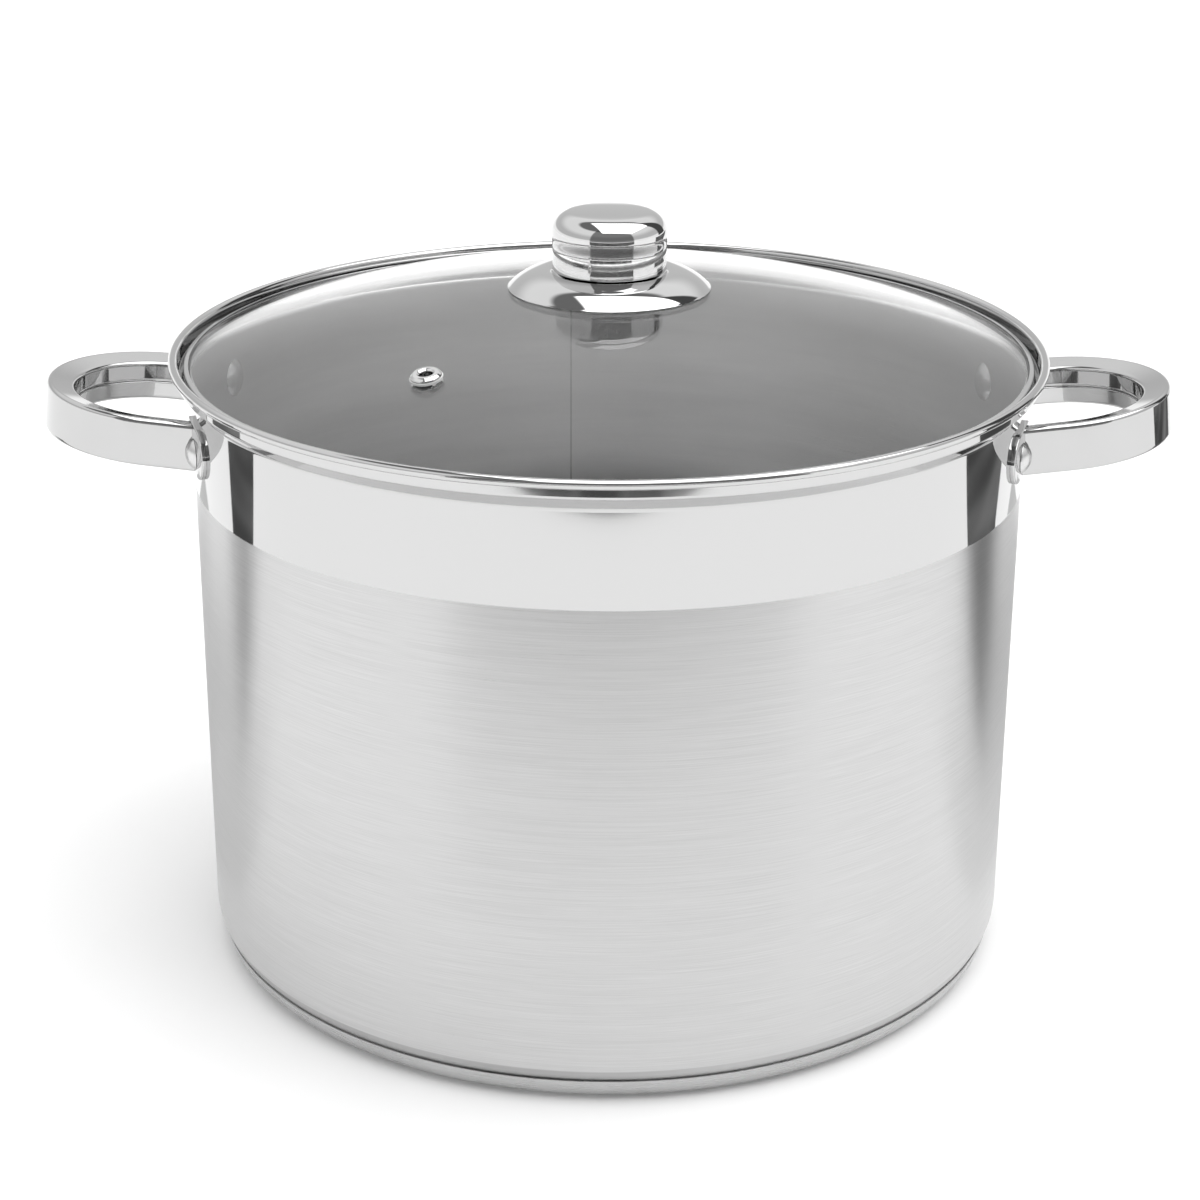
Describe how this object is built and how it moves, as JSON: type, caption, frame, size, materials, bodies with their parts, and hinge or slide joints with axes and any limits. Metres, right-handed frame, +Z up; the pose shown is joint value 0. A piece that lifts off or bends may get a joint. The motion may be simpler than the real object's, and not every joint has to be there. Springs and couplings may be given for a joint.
{
  "type": "stock pot",
  "caption": "Straight-sided steel stock pot with a clad base, two riveted bow handles and a domed glass lid with a steel knob and a steam vent.",
  "frame": {"origin": "middle of the flat underside of the base, where the pot stands", "axes": "+Z up along the axis of the pot, +X through the middle of one handle, +Y towards the rear; the steam vent of the lid is on the front left, at -X -Y"},
  "size_m": [0.4118, 0.3168, 0.2769],
  "materials": {
    "polished_steel": "drawn stainless sheet with a mirror polish",
    "brushed_steel": "stainless steel brushed around the axis, satin",
    "satin_steel": "plain satin stainless steel",
    "core_aluminium": "pressed aluminium disc, dull",
    "clear_glass": "clear toughened glass, smooth",
    "white_silicone": "translucent white silicone, satin",
    "spring_steel": "dark zinc plated steel"
  },
  "bodies": {
    "pot": {"pot_body": "brushed_steel", "base_core": "core_aluminium", "base_cap": "brushed_steel", "handle_left": "polished_steel", "handle_right": "polished_steel", "rivet_right_rear": "satin_steel", "rivet_right_front": "satin_steel", "rivet_left_rear": "satin_steel", "rivet_left_front": "satin_steel"},
    "lid": {"lid_glass": "clear_glass", "lid_band": "polished_steel", "vent_eyelet": "polished_steel", "vent_seal": "white_silicone", "vent_washer": "satin_steel", "knob_skirt": "polished_steel", "knob_gasket": "white_silicone", "knob_bowl": "polished_steel", "knob_cap": "polished_steel", "knob_insert": "satin_steel", "under_gasket": "white_silicone", "knob_washer": "satin_steel", "spring_washer": "spring_steel", "knob_screw": "satin_steel"}
  },
  "joints": [
    {"name": "lid_lift", "type": "slide", "parent": "pot", "child": "lid", "axis": [0, 0, 1], "range_m": [0, 0.15]}
  ]
}
